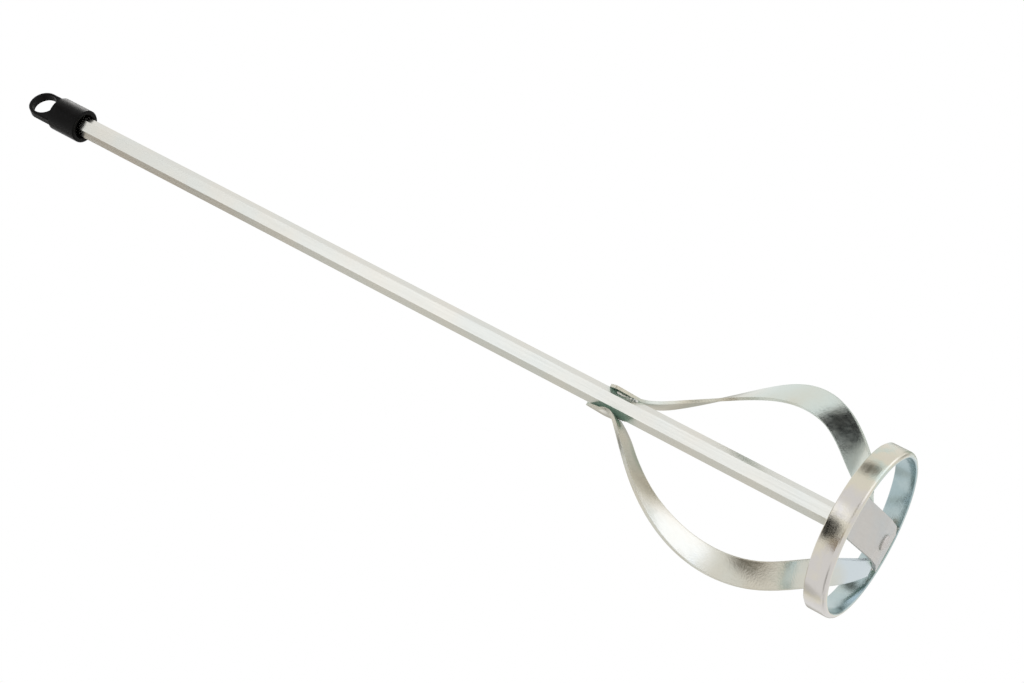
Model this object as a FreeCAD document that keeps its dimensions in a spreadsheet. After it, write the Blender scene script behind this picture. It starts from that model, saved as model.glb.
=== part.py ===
import FreeCAD, Part
import math
import os
import Sketcher

Vector = FreeCAD.Vector

# Mixing paddle: a hexagonal bar with a push-on hanging cap, two twisted strip blades,
# a strip ring at the foot and a dished strap across the ring.
# Lengths in mm, angles in degrees. Z runs up the shaft, zero is the underside of the peened end.

sizes = {
    "hex_flats": 10.0,        # hexagonal bar, across flats
    "shaft_length": 527.0,    # hexagonal bar above the strap
    "shaft_chamfer": 0.8,     # chuck end of the bar
    "tenon_radius": 3.5,      # turned end that passes through the strap
    "peen_radius": 3.9,       # hammered head under the strap
    "peen_height": 1.2,
    "peen_bevel": 0.5,
    "ring_radius": 42.4,      # outside of the ring
    "ring_height": 11.2,
    "ring_wall": 2.8,
    "strap_width": 20.2,
    "strap_thick": 2.0,
    "strap_flat": 7.0,        # half of the flat middle
    "strap_slope": 11.0,      # degrees, ends rise towards the ring
    "strap_bend": 8.0,        # inside radius of the two bends
    "strap_corner": 3.0,      # cropped corners
    "strap_turn": 2.6,        # degrees
    "strap_drop": 5.6,        # middle of the strap below the ring's rim
    "blade_width": 13.4,
    "blade_thick": 1.6,
    "blade_reach": 47.0,      # widest point of the blade's centreline
    "top_upper": 142.1,       # where the strip crosses the middle of the shaft, above the rim
    "top_lower": 143.2,
    "blade_skew": 38.0,       # degrees, tab across the shaft
    "tab_upper": 5.5,         # flat end of the strip above that
    "tab_lower": 13.5,
    "run_upper": 8.0,         # flat strip below that, up to the bend
    "run_lower": 1.0,
    "tab_corner": 2.5,
    "cap_radius": 9.65,
    "cap_sleeve": 20.0,       # mouth to closed end
    "cap_socket": 15.6,       # depth of the hole
    "cap_mouth": 7.0,         # radius of the wider mouth
    "cap_mouth_depth": 6.0,
    "cap_clearance": 0.08,    # grip bore over the bar's corners
    "cap_end_gap": 0.1,       # bar's end to the bottom of the socket
    "cap_turn": 26.0,         # degrees
    "loop_radius": 8.6,
    "loop_rise": 13.0,        # closed end to the middle of the loop's round
    "loop_hole": 7.0,
    "hole_rise": 12.3,        # closed end to the middle of the hole
    "loop_thick": 5.0,
    "loop_bevel": 0.6,
    "hole_bevel": 0.3,
    "lip_bevel": 0.6,
    "tab_bead": 1.4,          # radius of a weld bead
    "foot_bead": 1.6,
    "strap_bead": 1.5,
    "seam_bead": 1.1,
    "overrun": 4.0,           # how far a cut runs past
}

# Blade stations from the tab down to the strap: height as a share of its top, radius as a share of
# blade_reach, turn round the shaft from the tab and twist of the strip in degrees.
blade_height_shares = (0.834, 0.693, 0.486, 0.271, 0.125, 0.023, -0.02)
blade_reach_shares = (0.56, 0.865, 1.0, 0.86, 0.61, 0.595, 0.63)
blade_turns = (51.5, 39, 18, -2.5, -26, -60.5, -77)
blade_twists = (54, 67, 77, 82, 72, 87, 95)
blade_sections = 28

# The ring's edges as shares of its wall: a rolled lip at the lower outside, small bevels elsewhere.
# The lip is four flats round a quarter circle, their corners as shares of the lip.
ring_lip_share = 0.7
ring_bevel_share = 0.15
lip_corner_shares = (0.617, 0.293, 0.076)

# Weld beads: ripples along a bead, its dips and tips as shares of its radius, and how much of
# the joint's length it covers.
bead_sides = 8
bead_swell_shares = (0.85, 1.0, 0.9, 1.05, 0.95, 1.0, 0.8)
bead_dip_share = 0.74
bead_tip_share = 0.4
bead_end_share = 0.75
foot_bead_share = 0.75
strap_bead_share = 0.7
seam_bead_share = 0.8
seam_angle = 163    # degrees round the ring

doc = FreeCAD.newDocument("MixingPaddle")
sheet = doc.addObject("Spreadsheet::Sheet", "Sizes")
for row, (name, value) in enumerate(sizes.items(), start=1):
    sheet.set(f"A{row}", name)
    sheet.set(f"B{row}", str(value))
    sheet.setAlias(f"B{row}", name)
doc.recompute()


def size(name):
    return float(sheet.get(name))


def bind(target, path, expression):
    target.setExpression(path, expression)


def new_body(name):
    body = doc.addObject("PartDesign::Body", name)
    body.Label = name
    return body


def plane_of(body, role):
    return next(f for f in body.Origin.OriginFeatures if f.Role == role)


def sketch_on(body, role, name):
    sketch = body.newObject("Sketcher::SketchObject", name)
    sketch.AttachmentSupport = [(plane_of(body, role), "")]
    sketch.MapMode = "FlatFace"
    return sketch


def pin_axis(sketch, kind, geo, point, expression):
    value = float(sheet.evalExpression(expression))
    if abs(value) < 1e-9:
        axis = -2 if kind == "DistanceX" else -1
        sketch.addConstraint(Sketcher.Constraint("PointOnObject", geo, point, axis))
        return
    ends = (-1, 1, geo, point) if value > 0 else (geo, point, -1, 1)
    index = sketch.addConstraint(Sketcher.Constraint(kind, *ends, abs(value)))
    signed = expression if value > 0 else f"-({expression})"
    bind(sketch, f"Constraints[{index}]", signed)


def pin(sketch, geo, point, across, up):
    pin_axis(sketch, "DistanceX", geo, point, across)
    pin_axis(sketch, "DistanceY", geo, point, up)


def spot(across, up):
    return Vector(float(sheet.evalExpression(across)), float(sheet.evalExpression(up)), 0)


def polygon(sketch, corners):
    spots = [spot(*corner) for corner in corners]
    count = len(corners)
    first = sketch.GeometryCount
    for i in range(count):
        sketch.addGeometry(Part.LineSegment(spots[i], spots[(i + 1) % count]), False)
    for i in range(count):
        sketch.addConstraint(Sketcher.Constraint("Coincident", first + i, 2, first + (i + 1) % count, 1))
    for i, corner in enumerate(corners):
        pin(sketch, first + i, 1, *corner)


def circle(sketch, radius, up="0"):
    centre = spot("0", up)
    geo = sketch.addGeometry(Part.Circle(centre, Vector(0, 0, 1), float(sheet.evalExpression(radius))), False)
    pin(sketch, geo, 3, "0", up)
    index = sketch.addConstraint(Sketcher.Constraint("Radius", geo, float(sheet.evalExpression(radius))))
    bind(sketch, f"Constraints[{index}]", radius)
    return geo


def pad(body, sketch, name, length, midplane=False, reverse=False):
    feature = body.newObject("PartDesign::Pad", name)
    feature.Profile = sketch
    bind(feature, "Length", length)
    feature.Midplane = midplane
    feature.Reversed = reverse
    doc.recompute()
    return feature


def pocket(body, sketch, name, length):
    before = body.Shape.Volume
    feature = body.newObject("PartDesign::Pocket", name)
    feature.Profile = sketch
    bind(feature, "Length", length)
    feature.Midplane = True
    doc.recompute()
    if body.Shape.Volume >= before:
        raise RuntimeError(f"{name} cut nothing")
    return feature


def turn(body, sketch, name):
    feature = body.newObject("PartDesign::Revolution", name)
    feature.Profile = sketch
    feature.ReferenceAxis = (sketch, ["V_Axis"])
    feature.Angle = 360
    doc.recompute()
    return feature


def edges_where(feature, wanted):
    return [f"Edge{i}" for i, edge in enumerate(feature.Shape.Edges, start=1) if wanted(edge)]


def soften(body, base, name, radius, wanted, kind="Fillet"):
    names = edges_where(base, wanted)
    if not names:
        raise RuntimeError(f"{name} found no edges")
    feature = body.newObject(f"PartDesign::{kind}", name)
    feature.Base = (base, names)
    bind(feature, "Radius" if kind == "Fillet" else "Size", radius)
    doc.recompute()
    return feature


def is_circle(edge, radius, height=None):
    if not isinstance(edge.Curve, Part.Circle):
        return False
    near = math.isclose(edge.Curve.Radius, radius, rel_tol=1e-4)
    return near and (height is None or abs(edge.Curve.Center.z - height) < radius * 1e-3)


def is_level(edge, height, tolerance):
    return all(abs(v.Z - height) < tolerance for v in edge.Vertexes)


hex_corner = "Sizes.hex_flats / sqrt(3)"
ring_inside = "Sizes.ring_radius - Sizes.ring_wall"
ring_base = "Sizes.peen_height + Sizes.strap_drop"
strap_top = "Sizes.peen_height + Sizes.strap_thick"
corner_radius = size("hex_flats") / math.sqrt(3)


def make_hex_shaft():
    body = new_body("hex_shaft")
    bar = sketch_on(body, "XY_Plane", "BarOutline")
    half, low = "Sizes.hex_flats / 2", "Sizes.hex_flats / sqrt(3) / 2"
    polygon(bar, [("0", hex_corner), (f"-{half}", low), (f"-{half}", f"-{low}"),
                  ("0", f"-{hex_corner}"), (half, f"-{low}"), (half, low)])
    stock = pad(body, bar, "Bar", "Sizes.shaft_length")
    top = size("shaft_length")
    near = size("shaft_chamfer") / 10
    soften(body, stock, "ChuckEnd", "Sizes.shaft_chamfer", lambda e: is_level(e, top, near), "Chamfer")
    stub = sketch_on(body, "XY_Plane", "TenonOutline")
    circle(stub, "Sizes.tenon_radius")
    pad(body, stub, "Tenon", "Sizes.strap_thick", reverse=True)
    head = sketch_on(body, "XZ_Plane", "PeenOutline")
    under, low_end = "-Sizes.strap_thick", "-(Sizes.strap_thick + Sizes.peen_height)"
    rim, bevel = "Sizes.peen_radius", "Sizes.peen_bevel"
    polygon(head, [("0", low_end), (f"{rim} - {bevel}", low_end), (rim, f"{low_end} + {bevel}"),
                   (rim, under), ("0", under)])
    turn(body, head, "Peen")
    bind(body, ".Placement.Base.z", strap_top)
    return body


def make_foot_ring():
    body = new_body("foot_ring")
    section = sketch_on(body, "XZ_Plane", "StripSection")
    inside, outside, top = ring_inside, "Sizes.ring_radius", "Sizes.ring_height"
    bevel = f"{ring_bevel_share} * Sizes.ring_wall"
    lip = f"{ring_lip_share} * Sizes.ring_wall"
    corners = [(inside, bevel), (f"{inside} + {bevel}", "0"), (f"{outside} - {lip}", "0")]
    for across, up in zip(lip_corner_shares, reversed(lip_corner_shares)):
        corners.append((f"{outside} - {across} * {lip}", f"{up} * {lip}"))
    corners += [(outside, lip), (outside, f"{top} - {bevel}"), (f"{outside} - {bevel}", top),
                (f"{inside} + {bevel}", top), (inside, f"{top} - {bevel}")]
    polygon(section, corners)
    turn(body, section, "Hoop")
    bind(body, ".Placement.Base.z", ring_base)
    return body


def make_cross_strap():
    body = new_body("cross_strap")
    bent = sketch_on(body, "XZ_Plane", "BentSection")
    thick, flat, slope = "Sizes.strap_thick", "Sizes.strap_flat", "Sizes.strap_slope"
    end = f"({ring_inside} + Sizes.overrun)"
    inner = f"({flat} - {thick} * tan({slope} / 2 * 1deg))"
    low = f"({end} - {flat}) * tan({slope} * 1deg)"
    high = f"({low} + {thick} / cos({slope} * 1deg))"
    polygon(bent, [(f"-{end}", low), (f"-{flat}", "0"), (flat, "0"), (end, low),
                   (end, high), (inner, thick), (f"-{inner}", thick), (f"-{end}", high)])
    strip = pad(body, bent, "Strip", "Sizes.strap_width", midplane=True)
    reach, near = size("strap_flat"), size("strap_thick") / 4
    across = lambda e, z: is_level(e, z, near / 10) and e.Length > size("strap_width") * 0.9
    inside = lambda e: across(e, size("strap_thick")) and abs(e.CenterOfMass.x) > reach / 2
    outside = lambda e: across(e, 0) and abs(e.CenterOfMass.x) > reach / 2
    dish = soften(body, strip, "InsideBends", "Sizes.strap_bend", inside)
    dish = soften(body, dish, "OutsideBends", "Sizes.strap_bend + Sizes.strap_thick", outside)
    trim = sketch_on(body, "XY_Plane", "RingTrim")
    circle(trim, ring_inside)
    circle(trim, f"{ring_inside} + 3 * Sizes.overrun")
    pocket(body, trim, "TrimToRing", "2 * Sizes.ring_radius")
    eye = sketch_on(body, "XY_Plane", "TenonHole")
    circle(eye, "Sizes.tenon_radius")
    base = pocket(body, eye, "Eye", "4 * Sizes.strap_thick")
    half = size("strap_width") / 2

    def cropped(edge):
        at = edge.CenterOfMass
        upright = edge.Length < 2 * size("strap_thick") and abs(abs(at.y) - half) < near
        return upright and abs(at.x) > 3 * reach and at.x * at.y < 0

    soften(body, base, "CroppedCorners", "Sizes.strap_corner", cropped)
    bind(body, ".Placement.Base.z", "Sizes.peen_height")
    body.Placement.Rotation = FreeCAD.Rotation(Vector(0, 0, 1), 0)
    bind(body, ".Placement.Rotation.Angle", "Sizes.strap_turn * 1deg")
    return body


def seat_cap(body):
    bind(body, ".Placement.Base.z",
         f"{strap_top} + Sizes.shaft_length + Sizes.cap_end_gap - Sizes.cap_socket")
    body.Placement.Rotation = FreeCAD.Rotation(Vector(0, 0, 1), 0)
    bind(body, ".Placement.Rotation.Angle", "Sizes.cap_turn * 1deg")


def make_cap_sleeve():
    # the open half of the moulding, from its mouth to the bottom of the socket
    body = new_body("cap_sleeve")
    wall = sketch_on(body, "XZ_Plane", "SleeveSection")
    grip = f"({hex_corner} + Sizes.cap_clearance)"
    polygon(wall, [("Sizes.cap_mouth", "0"), ("Sizes.cap_radius", "0"), ("Sizes.cap_radius", "Sizes.cap_socket"),
                   (grip, "Sizes.cap_socket"), (grip, "Sizes.cap_mouth_depth"),
                   ("Sizes.cap_mouth", "Sizes.cap_mouth_depth")])
    base = turn(body, wall, "Sleeve")
    lip = lambda e: is_circle(e, size("cap_radius"), 0) or is_circle(e, size("cap_mouth"), 0)
    soften(body, base, "MouthLip", "Sizes.lip_bevel", lip, "Chamfer")
    seat_cap(body)
    return body


def make_hang_cap():
    # the closed end of the moulding with its flat loop
    body = new_body("hang_cap")
    end = sketch_on(body, "XZ_Plane", "EndSection")
    polygon(end, [("0", "Sizes.cap_socket"), ("Sizes.cap_radius", "Sizes.cap_socket"),
                  ("Sizes.cap_radius", "Sizes.cap_sleeve"), ("0", "Sizes.cap_sleeve")])
    turn(body, end, "ClosedEnd")
    tongue = sketch_on(body, "YZ_Plane", "TongueOutline")
    foot = "(Sizes.cap_sleeve + Sizes.cap_socket) / 2"
    eye = "(Sizes.cap_sleeve + Sizes.loop_rise)"
    side = "Sizes.loop_radius"
    corners = [(side, eye), (side, foot), (f"-{side}", foot), (f"-{side}", eye)]
    spots = [spot(*corner) for corner in corners]
    for i in range(3):
        tongue.addGeometry(Part.LineSegment(spots[i], spots[i + 1]), False)
    crown = Part.Circle(spot("0", eye), Vector(0, 0, 1), size("loop_radius"))
    tongue.addGeometry(Part.ArcOfCircle(crown, 0, math.pi), False)
    for i in range(2):
        tongue.addConstraint(Sketcher.Constraint("Coincident", i, 2, i + 1, 1))
    tongue.addConstraint(Sketcher.Constraint("Coincident", 2, 2, 3, 2))
    tongue.addConstraint(Sketcher.Constraint("Coincident", 3, 1, 0, 1))
    for i in range(3):
        pin(tongue, i, 1, *corners[i])
    pin(tongue, 2, 2, *corners[3])
    pin_axis(tongue, "DistanceY", 3, 3, eye)
    pad(body, tongue, "Tongue", "Sizes.loop_thick", midplane=True)
    hole = sketch_on(body, "YZ_Plane", "HangingHole")
    circle(hole, "Sizes.loop_hole", "Sizes.cap_sleeve + Sizes.hole_rise")
    base = pocket(body, hole, "Hole", "2 * Sizes.cap_radius")
    level = size("cap_sleeve")
    half = size("loop_thick") / 2

    def rim_of_loop(edge):
        at = edge.CenterOfMass
        flat = all(abs(abs(v.X) - half) < half / 50 for v in edge.Vertexes) and abs(abs(at.x) - half) < half / 50
        return flat and at.z > level * 1.02 and not is_circle(edge, size("loop_hole"))

    base = soften(body, base, "LoopRim", "Sizes.loop_bevel", rim_of_loop, "Chamfer")
    soften(body, base, "HoleRim", "Sizes.hole_bevel", lambda e: is_circle(e, size("loop_hole")), "Chamfer")
    seat_cap(body)
    return body


def eased(at, spots, values):
    slopes = [(values[i + 1] - values[i]) / (spots[i + 1] - spots[i]) for i in range(len(spots) - 1)]
    leans = [slopes[0]]
    for before, after in zip(slopes, slopes[1:]):
        leans.append(2 * before * after / (before + after) if before * after > 0 else 0)
    leans.append(slopes[-1])
    i = max(k for k in range(len(slopes)) if at >= spots[k] or k == 0)
    span = spots[i + 1] - spots[i]
    t = (at - spots[i]) / span
    keep = (1 + 2 * t) * (1 - t) ** 2 * values[i] + t * t * (3 - 2 * t) * values[i + 1]
    return keep + span * (t * (1 - t) ** 2 * leans[i] - t * t * (1 - t) * leans[i + 1])


def blade_frames(top, straight):
    # centreline, run and width direction of the strip from its first bend down to the strap
    reach = size("blade_reach")
    skew = math.radians(size("blade_skew"))
    run = Vector(-math.sin(skew), 0, -math.cos(skew))
    spots = [Vector(0, corner_radius + size("blade_thick") / 2, top) + run * straight]
    for height, share, lean in zip(blade_height_shares, blade_reach_shares, blade_turns):
        angle = math.radians(90 + lean)
        out = share * reach
        spots.append(Vector(out * math.cos(angle), out * math.sin(angle), height * top))
    lengths = [0.0]
    for a, b in zip(spots, spots[1:]):
        lengths.append(lengths[-1] + a.distanceToPoint(b))
    last = (spots[-1] - spots[-2]).normalize()
    line = Part.BSplineCurve()
    line.interpolate(Points=spots, Parameters=lengths, InitialTangent=run, FinalTangent=last, Scale=False)
    flat = Vector(0, 1, 0)
    radial = Vector(spots[0].x, spots[0].y, 0)
    start = math.degrees((radial - run * radial.dot(run)).getAngle(flat))
    frames = []
    for i in range(blade_sections):
        at = lengths[-1] * i / (blade_sections - 1)
        point = line.value(at)
        along = line.tangent(at)[0]
        out = Vector(point.x, point.y, 0)
        out = (out - along * out.dot(along)).normalize()
        lean = math.radians(eased(at, lengths, (start,) + blade_twists))
        wide = out.cross(along) * math.cos(lean) + out * math.sin(lean)
        frames.append((point, along, wide.normalize()))
    return frames


def strip_through(frames):
    half_wide, half_thick = size("blade_width") / 2, size("blade_thick") / 2
    sections = []
    for point, along, wide in frames:
        thin = along.cross(wide)
        corners = []
        for side, face in ((1, 1), (-1, 1), (-1, -1), (1, -1)):
            corners.append(point + wide * side * half_wide + thin * face * half_thick)
        sections.append(Part.makePolygon(corners + corners[:1]))
    return Part.makeLoft(sections, True, False)


def tab_behind(frames, length):
    point, along, wide = frames[0]
    half_wide, half_thick = size("blade_width") / 2, size("blade_thick") / 2
    thin = along.cross(wide)
    corners = []
    for side, back in ((1, 0), (-1, 0), (-1, 1), (1, 1)):
        corners.append(point + wide * side * half_wide - along * back * length - thin * half_thick)
    plate = Part.Face(Part.makePolygon(corners + corners[:1])).extrude(thin * 2 * half_thick)
    end = point - along * length
    far = [e for e in plate.Edges if abs((e.CenterOfMass - end).dot(along)) < half_thick / 100
           and abs((e.CenterOfMass - end).dot(wide)) > half_wide * 0.99]
    return plate.makeFillet(size("tab_corner"), far)


def make_blade(name, top, tab, straight, half_turn, strap):
    frames = blade_frames(top, straight)
    shape = strip_through(frames).fuse(tab_behind(frames, tab + straight)).removeSplitter()
    if half_turn:
        shape.rotate(Vector(0, 0, 0), Vector(0, 0, 1), 180)
    lift = size("peen_height") + size("strap_drop")
    wide_strap = strap.copy()
    wide_strap.translate(Vector(0, 0, -lift))
    shape = shape.cut(wide_strap).Solids
    shape = max(shape, key=lambda s: s.Volume)
    blade = doc.addObject("Part::Feature", name)
    blade.Label = name
    blade.Shape = shape
    bind(blade, ".Placement.Base.z", ring_base)
    return blade


def foot_cutter():
    # bent slab whose upper side is the strap's top, wider and deeper than the strap
    flat, thick = size("strap_flat"), size("strap_thick")
    slope = math.radians(size("strap_slope"))
    inner = flat - thick * math.tan(slope / 2)
    end = size("ring_radius")
    deep = -size("ring_height")
    high = thick + (end - inner) * math.tan(slope)
    corners = [(-end, high), (-inner, thick), (inner, thick), (end, high), (end, deep), (-end, deep)]
    half = size("strap_width")
    points = [Vector(x, -half, z) for x, z in corners]
    slab = Part.Face(Part.makePolygon(points + points[:1])).extrude(Vector(0, 2 * half, 0))
    slab.rotate(Vector(0, 0, 0), Vector(0, 0, 1), size("strap_turn"))
    slab.translate(Vector(0, 0, size("peen_height")))
    return slab


def strap_top_at(x, y):
    # height of the strap's upper side above the underside of its flat middle
    turned = math.radians(size("strap_turn"))
    slope = math.radians(size("strap_slope"))
    along = abs(x * math.cos(turned) + y * math.sin(turned))
    inner = size("strap_flat") - size("strap_thick") * math.tan(slope / 2)
    return size("strap_thick") + max(0, along - inner) * math.tan(slope)


def bead(name, spots, radius, half_turn, neighbours):
    # a rippled bead laid along its spots, cut back to the faces it is welded to
    run = (spots[-1] - spots[0]).normalize()
    side = run.cross(Vector(1, 0, 0) if abs(run.z) > abs(run.x) else Vector(0, 0, 1)).normalize()
    other = run.cross(side)
    rings = [(spots[0] - run * radius * bead_end_share, bead_tip_share)]
    for i, swell in enumerate(bead_swell_shares):
        if i > 0:
            rings.append(((spots[i - 1] + spots[i]) * 0.5, bead_dip_share))
        rings.append((spots[i], swell))
    rings.append((spots[-1] + run * radius * bead_end_share, bead_tip_share))
    hoops = []
    for middle, share in rings:
        corners = []
        for k in range(bead_sides):
            angle = math.radians(360 / bead_sides * k)
            corners.append(middle + (side * math.cos(angle) + other * math.sin(angle)) * radius * share)
        hoops.append(corners + corners[:1])
    faces = [Part.Face(Part.makePolygon(hoops[0])), Part.Face(Part.makePolygon(hoops[-1]))]
    for low, high in zip(hoops, hoops[1:]):
        for k in range(bead_sides):
            corners = [low[k], low[k + 1], high[k + 1], high[k], low[k]]
            faces.append(Part.Face(Part.makePolygon(corners)))
    shape = Part.makeSolid(Part.makeShell(faces))
    if shape.Volume < 0:
        shape.reverse()
    if half_turn:
        shape.rotate(Vector(0, 0, 0), Vector(0, 0, 1), 180)
    for neighbour in neighbours:
        cutter = neighbour.Shape.copy()
        cutter.translate(Vector(0, 0, -rim_height))
        shape = shape.cut(cutter)
    shape = max(shape.Solids, key=lambda part: part.Volume)
    node = doc.addObject("Part::Feature", name)
    node.Label = name
    node.Shape = shape
    bind(node, ".Placement.Base.z", ring_base)
    return node


def along_bead():
    last = len(bead_swell_shares) - 1
    return [i / last for i in range(last + 1)]


def tab_spots(top, side_shares, rise_shares):
    flats = size("hex_flats")
    spots = []
    for t in along_bead():
        side = side_shares[0] + (side_shares[1] - side_shares[0]) * t
        height = rise_shares[0] + (rise_shares[1] - rise_shares[0]) * t
        spots.append(Vector(side * flats, flats / 2, height * top))
    return spots


def foot_spots(top, straight):
    point, along, wide = blade_frames(top, straight)[-1]
    thin = along.cross(wide)
    drop = size("strap_drop")
    spots = []
    for t in along_bead():
        spot_at = point + wide * size("blade_width") * (t - 0.5) * foot_bead_share
        for _ in range(4):
            spot_at = spot_at + along * ((strap_top_at(spot_at.x, spot_at.y) - drop - spot_at.z) / along.z)
        spots.append(spot_at + thin * size("blade_thick") / 2)
    return spots


def strap_spots():
    reach = size("ring_radius") - size("ring_wall")
    spread = strap_bead_share * size("strap_width") / reach
    spots = []
    for t in along_bead():
        angle = math.radians(size("strap_turn")) + (t - 0.5) * spread
        x, y = reach * math.cos(angle), reach * math.sin(angle)
        spots.append(Vector(x, y, strap_top_at(x, y) - size("strap_drop")))
    return spots


def seam_spots():
    reach = size("ring_radius") - size("ring_wall")
    angle = math.radians(seam_angle)
    x, y = reach * math.cos(angle), reach * math.sin(angle)
    height = size("ring_height")
    return [Vector(x, y, height * (0.5 + (t - 0.5) * seam_bead_share)) for t in along_bead()]


rim_height = size("peen_height") + size("strap_drop")
hex_shaft = make_hex_shaft()
foot_ring = make_foot_ring()
cross_strap = make_cross_strap()
cap_sleeve = make_cap_sleeve()
hang_cap = make_hang_cap()
doc.recompute()
cutter = foot_cutter()
top_upper, top_lower = size("top_upper"), size("top_lower")
run_upper, run_lower = size("run_upper"), size("run_lower")
blade_upper = make_blade("blade_upper", top_upper, size("tab_upper"), run_upper, False, cutter)
blade_lower = make_blade("blade_lower", top_lower, size("tab_lower"), run_lower, True, cutter)
doc.recompute()

# A tab's bead from end to end: sideways as shares of hex_flats, upwards as shares of the blade's top.
tab_side_shares = (0.28, 0.13)
tab_rise_shares = (1.0, 0.935)
upper_tab = tab_spots(top_upper, tab_side_shares, tab_rise_shares)
lower_tab = tab_spots(top_lower, tab_side_shares, tab_rise_shares)
tab_bead, foot_bead = size("tab_bead"), size("foot_bead")
strap_bead, seam_bead = size("strap_bead"), size("seam_bead")
upper_foot, lower_foot = [cross_strap, foot_ring, blade_upper], [cross_strap, foot_ring, blade_lower]
strap_end = [cross_strap, foot_ring]
beads = [
    bead("tab_weld_upper_near", upper_tab, tab_bead, False, [hex_shaft, blade_upper]),
    bead("tab_weld_lower_far", lower_tab, tab_bead, True, [hex_shaft, blade_lower]),
    bead("foot_weld_upper", foot_spots(top_upper, run_upper), foot_bead, False, upper_foot),
    bead("foot_weld_lower", foot_spots(top_lower, run_lower), foot_bead, True, lower_foot),
    bead("strap_weld_near", strap_spots(), strap_bead, False, strap_end),
    bead("strap_weld_far", strap_spots(), strap_bead, True, strap_end),
    bead("ring_seam_weld", seam_spots(), seam_bead, False, [foot_ring]),
]
doc.recompute()

nodes = [hex_shaft, foot_ring, cross_strap, cap_sleeve, hang_cap, blade_upper, blade_lower] + beads
os.makedirs("parts", exist_ok=True)
for item in doc.Objects:
    if "Invalid" in item.State or "Error" in item.State:
        raise RuntimeError(f"{item.Label} did not compute")
for node in nodes:
    if node.Shape.isNull() or not node.Shape.isValid() or len(node.Shape.Solids) != 1:
        raise RuntimeError(f"{node.Label} is not one valid solid")
    node.Shape.exportStep(f"parts/{node.Label}.step")
    box = node.Shape.BoundBox
    print(node.Label, round(node.Shape.Volume, 1), round(box.ZMin, 2), round(box.ZMax, 2))
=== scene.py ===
import bpy
import math
from mathutils import Euler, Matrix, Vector

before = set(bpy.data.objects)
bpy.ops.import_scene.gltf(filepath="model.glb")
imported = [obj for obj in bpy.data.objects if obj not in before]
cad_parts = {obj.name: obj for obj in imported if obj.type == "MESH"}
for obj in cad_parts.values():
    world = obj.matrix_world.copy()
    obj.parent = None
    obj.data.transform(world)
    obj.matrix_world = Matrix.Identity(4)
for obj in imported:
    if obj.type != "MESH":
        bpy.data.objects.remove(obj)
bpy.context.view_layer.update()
scene = bpy.context.scene
print("frame loaded:", len(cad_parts), "nodes")

micron = 1e-6  # in metres
noiseSpan = {"From Min": 0.3, "From Max": 0.7}  # most of a noise texture's values lie in here
mixShare, mixFirst, mixSecond, mixResult = 0, 6, 7, 2  # sockets of a Mix node set to colours


def linear(hexText):
    shades = [int(hexText[i:i + 2], 16) / 255 for i in (0, 2, 4)]
    return [s / 12.92 if s <= 0.04045 else ((s + 0.055) / 1.055) ** 2.4 for s in shades] + [1.0]


def addNode(tree, kind, settings=None, links=None):
    node = tree.nodes.new("ShaderNode" + kind)
    for key, value in (settings or {}).items():
        if isinstance(key, int) or key in node.inputs:
            node.inputs[key].default_value = value
        else:
            setattr(node, key, value)
    for key, source in (links or {}).items():
        tree.links.new(source, node.inputs[key])
    return node


def newMaterial(name):
    material = bpy.data.materials.new(name)
    material.use_nodes = True
    material.node_tree.nodes.clear()
    return material, material.node_tree


def perMm(sizeMm):
    return 1000 / sizeMm  # noise scale for a pattern of this size on metre coordinates


def setRamp(node, stops):
    ramp = node.color_ramp
    while len(ramp.elements) < len(stops):
        ramp.elements.new(1.0)
    for element, (spot, colour) in zip(ramp.elements, stops):
        element.position = spot
        element.color = linear(colour)


# Zinc-plated steel, bright electroplate on drawn bar and rolled strip: a warm silver with cooler
# patches, soft reflections, fine lines along the rolling and a faint grain where light meets dark.
# The real grain is too fine to show, so it is drawn as coarse as 0.8 to 0.9 mm.

# Painted shade: a greenish tint, partly non-metal, is painted into the corners near the blades.
paintedCornerShade = {"colour": "adc4b6", "reachMm": 8.0, "samples": 12, "shut": 0.35, "open": 0.85,
           "shadeMatte": 0.85, "belowMm": 200}
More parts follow.
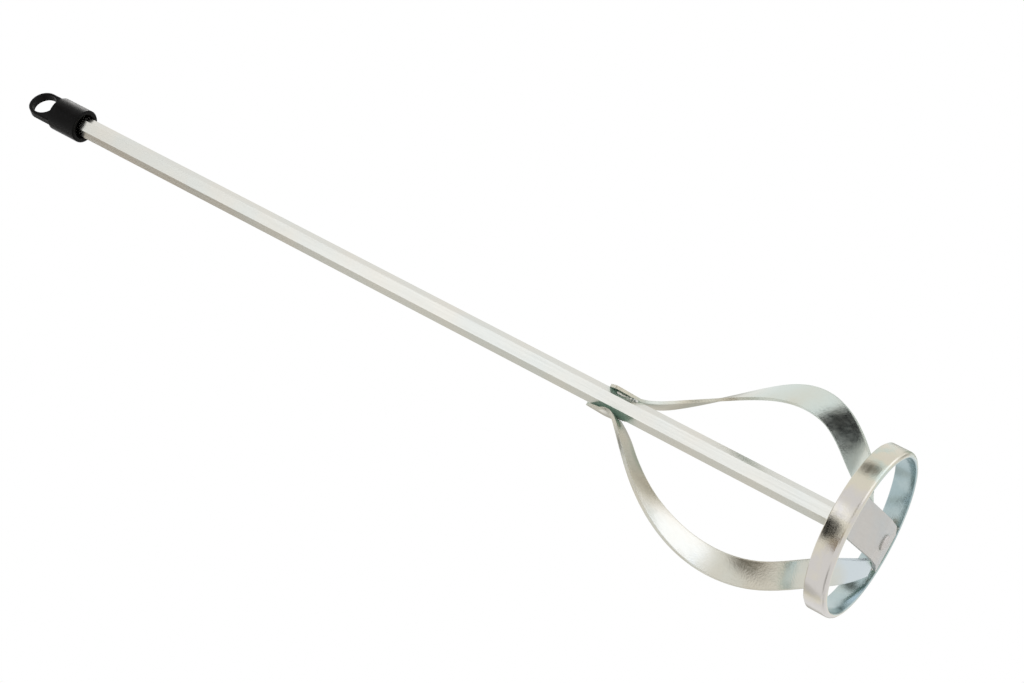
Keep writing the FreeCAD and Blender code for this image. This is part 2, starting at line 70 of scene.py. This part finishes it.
# Cut edges are duller than the rolled faces. The reach stays under the strip's 1.6 mm.
shearedEdge = {"reachMm": 1.5, "samples": 8, "thin": 0.5, "deep": 0.75, "rough": 0.4}
bladeSkin = {"stainMm": 26, "low": 0.14, "high": 0.2, "streakMm": (2, 2, 8), "streakUm": 2,
             "grainMm": 0.8, "grainUm": 30, "waveMm": 7, "waveUm": 20, "cutEdges": True}
zincFinishes = {
    "drawn_bar_zinc": {
        "shades": ((0.36, "d5d6d0"), (0.62, "d9d6cd")), "stainMm": 30, "low": 0.2, "high": 0.27,
        "streakMm": (0.6, 0.6, 30), "streakUm": 1.5, "grainMm": 0.9, "grainUm": 0.6,
        "waveMm": 40, "waveUm": 10,
        "dullEnd": {"colour": "c8c4c0", "rough": 0.3, "fullMm": 2.7, "goneMm": 3.3}},
    "upper_strip_zinc": {
        **bladeSkin, "shades": ((0.36, "d0dad5"), (0.62, "d1d4ca"), (0.8, "cfcab9")),
        "drift": {"along": "Z", "fromMm": 95, "toMm": 125, "low": 0.0, "high": 0.3}},
    "lower_strip_zinc": {
        **bladeSkin, "shades": ((0.1, "ccd5d9"), (0.4, "cecdc2"), (0.62, "d1cbbc")),
        "drift": {"along": "Z", "fromMm": 13, "toMm": 25, "low": -0.45, "high": 0.0}},
    "rolled_ring_zinc": {
        # the two cool stops at the bottom carry the painted shade of the inner faces
        "shades": ((0.0, "a6b8bb"), (0.3, "bac8c8"), (0.6, "c5cdc2"),
                   (0.72, "d2cdbc"), (0.84, "d2ccbd"), (1.0, "ccc8c4")),
        "stainMm": 12, "low": 0.14, "high": 0.22, "streakMm": (8, 8, 1.5), "streakUm": 2,
        "grainMm": 0.8, "grainUm": 24, "waveMm": 5, "waveUm": 30,
        "paintedInnerShade": {"turn": 0.25, "shift": 0.35},
        "drift": {"along": "Y", "fromMm": -42, "toMm": 42, "low": 0.2, "high": -0.2},
        "crown": {"lowMm": 6.8, "highMm": 18.0, "tilt": 6.0}},
    "dull_strap_zinc": {
        "shades": ((0.36, "c0c2c1"), (0.62, "c6c3be")), "stainMm": 18, "low": 0.42, "high": 0.52,
        "streakMm": (12, 1.2, 1.2), "streakUm": 3, "grainMm": 0.8, "grainUm": 4,
        "waveMm": 12, "waveUm": 30},
}


def zincSteel(name, finish):
    material, tree = newMaterial(name)
    place = addNode(tree, "TexCoord").outputs["Object"]
    apart = addNode(tree, "SeparateXYZ", {}, {0: place}).outputs
    up = apart["Z"]
    streakScale = Vector([perMm(mm) for mm in finish["streakMm"]])
    drawn = addNode(tree, "Mapping", {"Scale": streakScale}, {"Vector": place}).outputs[0]
    streak = addNode(tree, "TexNoise", {"Scale": 1.0, "Detail": 3.0},
                     {"Vector": drawn}).outputs["Fac"]
    stain = addNode(tree, "TexNoise", {"Scale": perMm(finish["stainMm"]), "Detail": 4.0},
                    {"Vector": place}).outputs["Fac"]
    grain = addNode(tree, "TexNoise", {"Scale": perMm(finish["grainMm"]), "Detail": 2.0},
                    {"Vector": place}).outputs["Fac"]
    wave = addNode(tree, "TexNoise", {"Scale": perMm(finish["waveMm"]), "Detail": 1.0},
                   {"Vector": place}).outputs["Fac"]

    shade = stain
    if "paintedInnerShade" in finish:  # painted shade: faces turned in are painted cooler and darker
        innerShade = finish["paintedInnerShade"]
        flat = addNode(tree, "VectorMath", {"operation": "MULTIPLY", 1: (1, 1, 0)},
                       {0: place}).outputs[0]
        outward = addNode(tree, "VectorMath", {"operation": "NORMALIZE"}, {0: flat}).outputs[0]
        normal = addNode(tree, "NewGeometry").outputs["Normal"]
        facing = addNode(tree, "VectorMath", {"operation": "DOT_PRODUCT"},
                         {0: outward, 1: normal}).outputs["Value"]
        side = addNode(tree, "MapRange", {"From Min": -innerShade["turn"], "From Max": innerShade["turn"],
                                          "To Min": -innerShade["shift"], "To Max": innerShade["shift"]},
                       {"Value": facing}).outputs[0]
        shade = addNode(tree, "Math", {"operation": "ADD"}, {0: shade, 1: side}).outputs[0]
    if "drift" in finish:  # the tint is shifted along one axis of the piece, between the given ends
        drift = finish["drift"]
        shift = addNode(tree, "MapRange", {"From Min": drift["fromMm"] / 1000,
                                           "From Max": drift["toMm"] / 1000,
                                           "To Min": drift["low"], "To Max": drift["high"]},
                        {"Value": apart[drift["along"]]}).outputs[0]
        shade = addNode(tree, "Math", {"operation": "ADD"}, {0: shade, 1: shift}).outputs[0]
    tint = addNode(tree, "ValToRGB", {}, {"Fac": shade})
    setRamp(tint, finish["shades"])

    # painted shade: ambient occlusion finds the corners, and below the cap the greenish tint and
    # the matte share are painted there
    openness = addNode(tree, "AmbientOcclusion",
                       {"samples": paintedCornerShade["samples"],
                        "Distance": paintedCornerShade["reachMm"] / 1000}).outputs["AO"]
    corner = addNode(tree, "MapRange", {"From Min": paintedCornerShade["shut"], "From Max": paintedCornerShade["open"],
                                        "To Min": 1.0, "To Max": 0.0},
                     {"Value": openness}).outputs[0]
    low = addNode(tree, "Math", {"operation": "LESS_THAN", 1: paintedCornerShade["belowMm"] / 1000},
                  {0: up}).outputs[0]
    corner = addNode(tree, "Math", {"operation": "MULTIPLY"}, {0: corner, 1: low}).outputs[0]
    tint = addNode(tree, "Mix", {"data_type": "RGBA", mixSecond: linear(paintedCornerShade["colour"])},
                   {mixShare: corner, mixFirst: tint.outputs["Color"]}).outputs[mixResult]
    metal = addNode(tree, "Math", {"operation": "MULTIPLY_ADD", 1: -paintedCornerShade["shadeMatte"], 2: 1.0},
                    {0: corner}).outputs[0]

    gloss = addNode(tree, "MapRange",
                    {**noiseSpan, "To Min": finish["low"], "To Max": finish["high"]},
                    {"Value": streak}).outputs[0]
    if finish.get("cutEdges"):  # looking into the metal, only an edge has other faces this close
        depth = addNode(tree, "AmbientOcclusion",
                        {"inside": True, "only_local": True, "samples": shearedEdge["samples"],
                         "Distance": shearedEdge["reachMm"] / 1000}).outputs["AO"]
        cut = addNode(tree, "MapRange",
                      {"From Min": shearedEdge["thin"], "From Max": shearedEdge["deep"],
                       "To Min": shearedEdge["rough"], "To Max": 0.0}, {"Value": depth}).outputs[0]
        gloss = addNode(tree, "Math", {"operation": "ADD"}, {0: gloss, 1: cut}).outputs[0]
    if "dullEnd" in finish:  # the hammered face of the peened end is as dull as the strap round it
        dull = finish["dullEnd"]
        near = addNode(tree, "MapRange", {"From Min": dull["fullMm"] / 1000,
                                          "From Max": dull["goneMm"] / 1000,
                                          "To Min": 1.0, "To Max": 0.0}, {"Value": up}).outputs[0]
        tint = addNode(tree, "Mix", {"data_type": "RGBA", mixSecond: linear(dull["colour"])},
                       {mixShare: near, mixFirst: tint}).outputs[mixResult]
        gloss = addNode(tree, "Math", {"operation": "MULTIPLY_ADD", 1: dull["rough"]},
                        {0: near, 2: gloss}).outputs[0]

    height = addNode(tree, "Math", {"operation": "MULTIPLY", 1: finish["streakUm"] * micron},
                     {0: streak}).outputs[0]
    for noise, depthUm in ((grain, finish["grainUm"]), (wave, finish["waveUm"])):
        height = addNode(tree, "Math", {"operation": "MULTIPLY_ADD", 1: depthUm * micron},
                         {0: noise, 2: height}).outputs[0]
    if "crown" in finish:  # rolling leaves the strip slightly crowned between its edges
        crown = finish["crown"]
        halfWidth = (crown["highMm"] - crown["lowMm"]) / 2000
        rise = math.tan(math.radians(crown["tilt"])) * halfWidth / 2  # a parabola of that edge tilt
        across = addNode(tree, "MapRange", {"From Min": crown["lowMm"] / 1000,
                                            "From Max": crown["highMm"] / 1000,
                                            "To Min": -1.0, "To Max": 1.0},
                         {"Value": up}).outputs[0]
        square = addNode(tree, "Math", {"operation": "MULTIPLY"}, {0: across, 1: across}).outputs[0]
        height = addNode(tree, "Math", {"operation": "MULTIPLY_ADD", 1: -rise},
                         {0: square, 2: height}).outputs[0]
    bump = addNode(tree, "Bump", {"Strength": 1.0, "Distance": 1.0}, {"Height": height}).outputs[0]
    shader = addNode(tree, "BsdfPrincipled", {},
                     {"Base Color": tint, "Roughness": gloss, "Metallic": metal, "Normal": bump})
    addNode(tree, "OutputMaterial", {}, {"Surface": shader.outputs[0]})
    return material


# Weld metal under the same plating: rippled, with painted shade in the pits between bright lumps.
weldFinish = {"shades": ((0.36, "66716a"), (0.56, "dcd9d2")), "lumpMm": 1.6, "low": 0.22,
              "high": 0.5, "relief": 0.5, "reliefMm": 0.5}


def weldZinc(finish):
    material, tree = newMaterial("zinc_over_weld")
    place = addNode(tree, "TexCoord").outputs["Object"]
    lumps = addNode(tree, "TexNoise", {"Scale": perMm(finish["lumpMm"]), "Detail": 3.0},
                    {"Vector": place}).outputs["Fac"]
    # painted shade: the low parts of the noise, which the bump sinks into pits, are painted dark;
    # they are also rougher
    tint = addNode(tree, "ValToRGB", {}, {"Fac": lumps})
    setRamp(tint, finish["shades"])
    gloss = addNode(tree, "MapRange",
                    {**noiseSpan, "To Min": finish["high"], "To Max": finish["low"]},
                    {"Value": lumps}).outputs[0]
    bump = addNode(tree, "Bump", {"Strength": finish["relief"],
                                  "Distance": finish["reliefMm"] / 1000},
                   {"Height": lumps}).outputs[0]
    shader = addNode(tree, "BsdfPrincipled", {"Metallic": 1.0},
                     {"Base Color": tint.outputs["Color"], "Roughness": gloss, "Normal": bump})
    addNode(tree, "OutputMaterial", {}, {"Surface": shader.outputs[0]})
    return material


# Moulded polyethylene, black: a satin skin with a faint mould grain and a few paler scuffs.
capFinish = {"shades": ((0.5, "0f0e0d"), (0.75, "181716")), "grainMm": 0.5, "scuffMm": 5,
             "low": 0.32, "high": 0.4, "relief": 0.006, "reliefMm": 0.2, "ior": 1.5, "shine": 0.07}


def mouldedPolyethylene(finish):
    material, tree = newMaterial("moulded_polyethylene_black")
    place = addNode(tree, "TexCoord").outputs["Object"]
    grain = addNode(tree, "TexNoise", {"Scale": perMm(finish["grainMm"]), "Detail": 3.0},
                    {"Vector": place}).outputs["Fac"]
    scuffs = addNode(tree, "TexNoise", {"Scale": perMm(finish["scuffMm"]), "Detail": 5.0},
                     {"Vector": place}).outputs["Fac"]
    tint = addNode(tree, "ValToRGB", {}, {"Fac": scuffs})
    setRamp(tint, finish["shades"])
    gloss = addNode(tree, "MapRange",
                    {**noiseSpan, "To Min": finish["low"], "To Max": finish["high"]},
                    {"Value": scuffs}).outputs[0]
    bump = addNode(tree, "Bump", {"Strength": finish["relief"],
                                  "Distance": finish["reliefMm"] / 1000},
                   {"Height": grain}).outputs[0]
    shader = addNode(tree, "BsdfPrincipled",
                     {"IOR": finish["ior"], "Specular IOR Level": finish["shine"]},
                     {"Base Color": tint.outputs["Color"], "Roughness": gloss, "Normal": bump})
    addNode(tree, "OutputMaterial", {}, {"Surface": shader.outputs[0]})
    return material


zinc = {name: zincSteel(name, finish) for name, finish in zincFinishes.items()}
weldMetal = weldZinc(weldFinish)
capPlastic = mouldedPolyethylene(capFinish)

# Every node that isn't listed here is a weld bead.
nodeFinishes = {"hex_shaft": zinc["drawn_bar_zinc"], "blade_upper": zinc["upper_strip_zinc"],
                "blade_lower": zinc["lower_strip_zinc"], "foot_ring": zinc["rolled_ring_zinc"],
                "cross_strap": zinc["dull_strap_zinc"], "hang_cap": capPlastic,
                "cap_sleeve": capPlastic}
for name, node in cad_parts.items():
    node.data.materials.clear()
    node.data.materials.append(nodeFinishes.get(name, weldMetal))
print("finishes set")


# Camera of the photo, low at the foot and looking up along the shaft.
photoCamera = {"place": (0.8891, -0.0608, -0.2172), "turn": (136.452, 53.0535, 125.9305),
               "lensMm": 69.56, "frameMm": 36, "clipStart": 0.01}

camera = bpy.data.objects.new("photo_camera", bpy.data.cameras.new("photo_camera"))
scene.collection.objects.link(camera)
camera.location = photoCamera["place"]
camera.rotation_euler = Euler([math.radians(a) for a in photoCamera["turn"]])
camera.data.lens = photoCamera["lensMm"]
camera.data.sensor_width = photoCamera["frameMm"]
camera.data.clip_start = photoCamera["clipStart"]
scene.camera = camera
print("camera set")


# Plain pale floor under the foot that fades out into the white. It is seen only from above, so
# the low camera looks past it.
floorLook = {"half": 2.0, "pale": "f4f4f2", "fadeFrom": 0.5, "fadeTo": 1.8}

bpy.ops.object.select_all(action="DESELECT")
bpy.ops.mesh.primitive_plane_add(size=2 * floorLook["half"], location=(0, 0, 0))
floor = bpy.context.object
floor.name = "floor"
floorMaterial, tree = newMaterial("pale_floor")
below = addNode(tree, "NewGeometry").outputs["Backfacing"]
middle = addNode(tree, "TexCoord").outputs["Object"]
reach = addNode(tree, "VectorMath", {"operation": "LENGTH"}, {0: middle}).outputs["Value"]
gone = addNode(tree, "MapRange",
               {"interpolation_type": "SMOOTHSTEP", "From Min": floorLook["fadeFrom"],
                "From Max": floorLook["fadeTo"]}, {"Value": reach}).outputs[0]
gone = addNode(tree, "Math", {"operation": "MAXIMUM"}, {0: gone, 1: below}).outputs[0]
pale = addNode(tree, "BsdfDiffuse", {"Color": linear(floorLook["pale"])}).outputs[0]
clear = addNode(tree, "BsdfTransparent").outputs[0]
mix = addNode(tree, "MixShader", {}, {0: gone, 1: pale, 2: clear})
addNode(tree, "OutputMaterial", {}, {"Surface": mix.outputs[0]})
floor.data.materials.append(floorMaterial)
floor.visible_glossy = False
floor.visible_diffuse = False
floor.visible_shadow = False

# White world for the camera and the reflections, a softer one for the light it gives.
studio = {"fillLight": 0.62}
world = bpy.data.worlds.new("studio")
scene.world = world
world.use_nodes = True
tree = world.node_tree
tree.nodes.clear()
path = addNode(tree, "LightPath").outputs
seen = addNode(tree, "Math", {"operation": "MAXIMUM"},
               {0: path["Is Camera Ray"], 1: path["Is Glossy Ray"]}).outputs[0]
seen = addNode(tree, "Math", {"operation": "MAXIMUM"},
               {0: seen, 1: path["Is Transmission Ray"]}).outputs[0]
strength = addNode(tree, "MapRange", {"To Min": studio["fillLight"], "To Max": 1.0},
                   {"Value": seen}).outputs[0]
white = addNode(tree, "Background", {"Color": (1, 1, 1, 1)}, {"Strength": strength})
addNode(tree, "OutputWorld", {}, {"Surface": white.outputs[0]})


def towards(azimuth, elevation, far):
    a, e = math.radians(azimuth), math.radians(elevation)
    return Vector((math.cos(e) * math.cos(a), math.cos(e) * math.sin(a), math.sin(e))) * far


# Softboxes and reflectors stand round the paddle, each by compass angle, height angle and
# distance from the point that it faces. A softbox is flagged off from all but what it lights.
headAim, capAim, footAim = Vector((0, 0, 0.09)), Vector((0, 0, 0.53)), Vector((0, 0, 0))
softboxes = {
    "cap_softbox": {"aim": capAim, "at": (122, 44), "far": 1.0, "size": (0.5, 0.4), "watts": 3.3,
                    "tint": "fffdfa",
                    "lights": [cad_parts["hang_cap"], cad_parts["cap_sleeve"]]},
    "floor_softbox": {"aim": footAim, "at": (205, 62), "far": 1.6, "size": (0.5, 0.5),
                      "watts": 11.5, "tint": "ffffff", "lights": [floor]},
}
for name, box in softboxes.items():
    lamp = bpy.data.objects.new(name, bpy.data.lights.new(name, "AREA"))
    scene.collection.objects.link(lamp)
    lamp.data.shape = "RECTANGLE"
    lamp.data.size, lamp.data.size_y = box["size"]
    lamp.data.energy = box["watts"]
    lamp.data.color = linear(box["tint"])[:3]
    lamp.location = box["aim"] + towards(*box["at"], box["far"])
    lamp.rotation_euler = (box["aim"] - lamp.location).to_track_quat("-Z", "Y").to_euler()
    lit = bpy.data.collections.new(name)
    for thing in box["lights"]:
        lit.objects.link(thing)
    lamp.light_linking.receiver_collection = lit

# Panels glow brighter than white, cards are grey, warm or black. The soft share of each fades out.
cardHalf = 0.5  # of a plane one unit wide
reflectors = {
    "key_panel": {"at": (86, -28), "far": 2.5, "size": (4.6, 1.7), "soft": 0.6,
                  "colour": "f1f4ff", "glow": 1.85},
    "lip_panel": {"at": (62, -52), "far": 2.5, "size": (2.8, 1.0), "soft": 0.6,
                  "colour": "f4f6ff", "glow": 1.6},
    "bar_panel": {"at": (4, 23), "far": 2.5, "size": (1.3, 2.2), "soft": 0.5,
                  "colour": "f9fbff", "glow": 1.42},
    "back_card": {"at": (178, 14), "far": 2.7, "size": (3.2, 2.6), "soft": 0.6,
                  "colour": "b8b6ae", "glow": 1.0},
    "blade_shadow_card": {"at": (31, 60), "far": 2.3, "size": (1.05, 1.22), "soft": 0.5,
                          "colour": "0a0b0d", "glow": 1.0},
    "overhead_card": {"at": (15, 74), "far": 2.5, "size": (2.0, 1.4), "soft": 0.6,
                      "colour": "c0c4c4", "glow": 1.0},
    "ring_shadow_card": {"at": (-19, 21), "far": 2.3, "size": (1.6, 1.5), "soft": 0.55,
                         "colour": "0b0a09", "glow": 1.0},
    "ring_warm_card": {"at": (-33, 3), "far": 2.35, "size": (1.1, 1.2), "soft": 0.7,
                       "colour": "9c8a70", "glow": 1.0},
    "lip_card": {"at": (-22, -28), "far": 2.4, "size": (1.2, 2.0), "soft": 0.7,
                 "colour": "a09684", "glow": 1.0},
    "ring_grey_card": {"at": (74, 15), "far": 2.4, "size": (1.3, 1.0), "soft": 0.7,
                       "colour": "666660", "glow": 1.0},
    "blade_warm_card": {"at": (18, -25), "far": 2.3, "size": (1.5, 0.74), "soft": 0.7,
                        "colour": "5c5546", "glow": 1.0},
    "blade_green_card": {"at": (150, 0), "far": 2.4, "size": (2.0, 1.4), "soft": 0.7,
                         "colour": "b2bab0", "glow": 1.0},
    "bar_side_card": {"at": (-116, 27), "far": 2.6, "size": (1.3, 2.4), "soft": 0.5,
                      "colour": "dcdbd6", "glow": 1.0},
    "back_low_card": {"at": (262, -20), "far": 2.5, "size": (4.4, 1.4), "soft": 0.6,
                      "colour": "9c9c98", "glow": 1.0},
    "far_low_card": {"at": (152, -24), "far": 2.5, "size": (1.6, 1.0), "soft": 0.7,
                     "colour": "bcbebb", "glow": 1.0},
    "bar_end_card": {"at": (-116, 46), "far": 2.4, "size": (1.1, 0.9), "soft": 0.6,
                     "colour": "b4aca2", "glow": 1.0},
}
for name, card in reflectors.items():
    bpy.ops.object.select_all(action="DESELECT")
    bpy.ops.mesh.primitive_plane_add(size=1, location=headAim + towards(*card["at"], card["far"]))
    panel = bpy.context.object
    panel.name = name
    panel.scale = (*card["size"], 1)
    panel.rotation_euler = (headAim - panel.location).to_track_quat("Z", "Y").to_euler()
    cardMaterial, tree = newMaterial(name)
    middle = addNode(tree, "TexCoord").outputs["Object"]
    reach = addNode(tree, "VectorMath", {"operation": "LENGTH"}, {0: middle}).outputs["Value"]
    fade = addNode(tree, "MapRange",
                   {"interpolation_type": "SMOOTHSTEP", "From Min": cardHalf * (1 - card["soft"]),
                    "From Max": cardHalf, "To Min": 1.0, "To Max": 0.0},
                   {"Value": reach}).outputs[0]
    clear = addNode(tree, "BsdfTransparent").outputs[0]
    glow = addNode(tree, "Emission", {"Color": linear(card["colour"]),
                                      "Strength": card["glow"]}).outputs[0]
    faded = addNode(tree, "MixShader", {}, {0: fade, 1: clear, 2: glow})
    addNode(tree, "OutputMaterial", {}, {"Surface": faded.outputs[0]})
    panel.data.materials.append(cardMaterial)
    panel.visible_camera = False
    panel.visible_diffuse = False
    panel.visible_shadow = False
print("studio set")

scene.view_settings.view_transform = "Standard"
